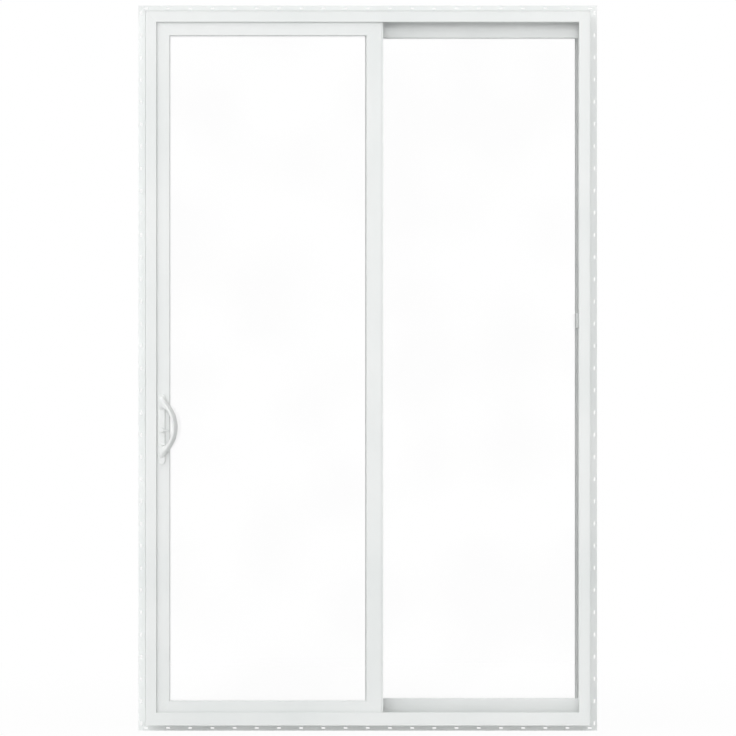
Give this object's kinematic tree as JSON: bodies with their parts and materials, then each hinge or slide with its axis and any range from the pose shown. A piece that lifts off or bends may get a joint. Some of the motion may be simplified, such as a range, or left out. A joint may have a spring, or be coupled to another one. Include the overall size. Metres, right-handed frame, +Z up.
{
  "type": "glass sliding patio door",
  "caption": "White vinyl sliding patio door: a glazed panel that rolls along the sill beside a fixed glazed panel, in a frame with slotted nailing fins.",
  "frame": {"origin": "on the face of the nailing fins that bears on the wall, at the underside of the sill and the middle of the door's width", "axes": "+X to the right seen from the room, +Y through the wall to the outdoors, +Z up"},
  "size_m": [1.5748, 0.1659, 2.4892],
  "materials": {
    "vinyl": "satin white extruded vinyl",
    "enamel": "gloss white enamel",
    "glass": "clear",
    "aluminium": "mill finish",
    "steel": "plated",
    "rubber": "pale grey",
    "pile": "woven pile"
  },
  "bodies": {
    "frame": {"head": "vinyl", "sill": "vinyl", "lock_jamb": "vinyl", "fixed_jamb": "vinyl", "head_nail_fin": "vinyl", "sill_nail_fin": "vinyl", "lock_jamb_nail_fin": "vinyl", "fixed_jamb_nail_fin": "vinyl", "sill_rail": "aluminium", "fixed_top_rail": "vinyl", "fixed_bottom_rail": "vinyl", "fixed_meeting_stile": "vinyl", "fixed_jamb_stile": "vinyl", "fixed_inner_pane": "glass", "fixed_outer_pane": "glass", "fixed_glass_spacer": "aluminium", "fixed_glazing_beads": "vinyl", "fixed_interlock": "enamel", "keeper": "steel", "panel_stop": "rubber", "pile_seals": "pile"},
    "sliding_panel": {"panel_top_rail": "vinyl", "panel_bottom_rail": "vinyl", "panel_lock_stile": "vinyl", "panel_meeting_stile": "vinyl", "panel_inner_pane": "glass", "panel_outer_pane": "glass", "panel_glass_spacer": "aluminium", "panel_glazing_beads": "vinyl", "panel_interlock": "enamel", "roller_housings": "steel", "rollers": "steel", "inside_handle_plate": "enamel", "outside_handle_plate": "enamel", "inside_pull": "enamel", "outside_pull": "enamel", "key_cylinder": "steel", "lock_faceplate": "steel"},
    "latch": {"thumb_latch": "enamel"}
  },
  "joints": [
    {"name": "panel_slide", "type": "slide", "parent": "frame", "child": "sliding_panel", "axis": [1, 0, 0], "range_m": [0, 0.65]},
    {"name": "latch_turn", "type": "hinge", "parent": "sliding_panel", "child": "latch", "pos_m": [-0.69935, -0.0833, 1.002], "axis": [0, -1, 0], "range_deg": [0, 60]}
  ]
}
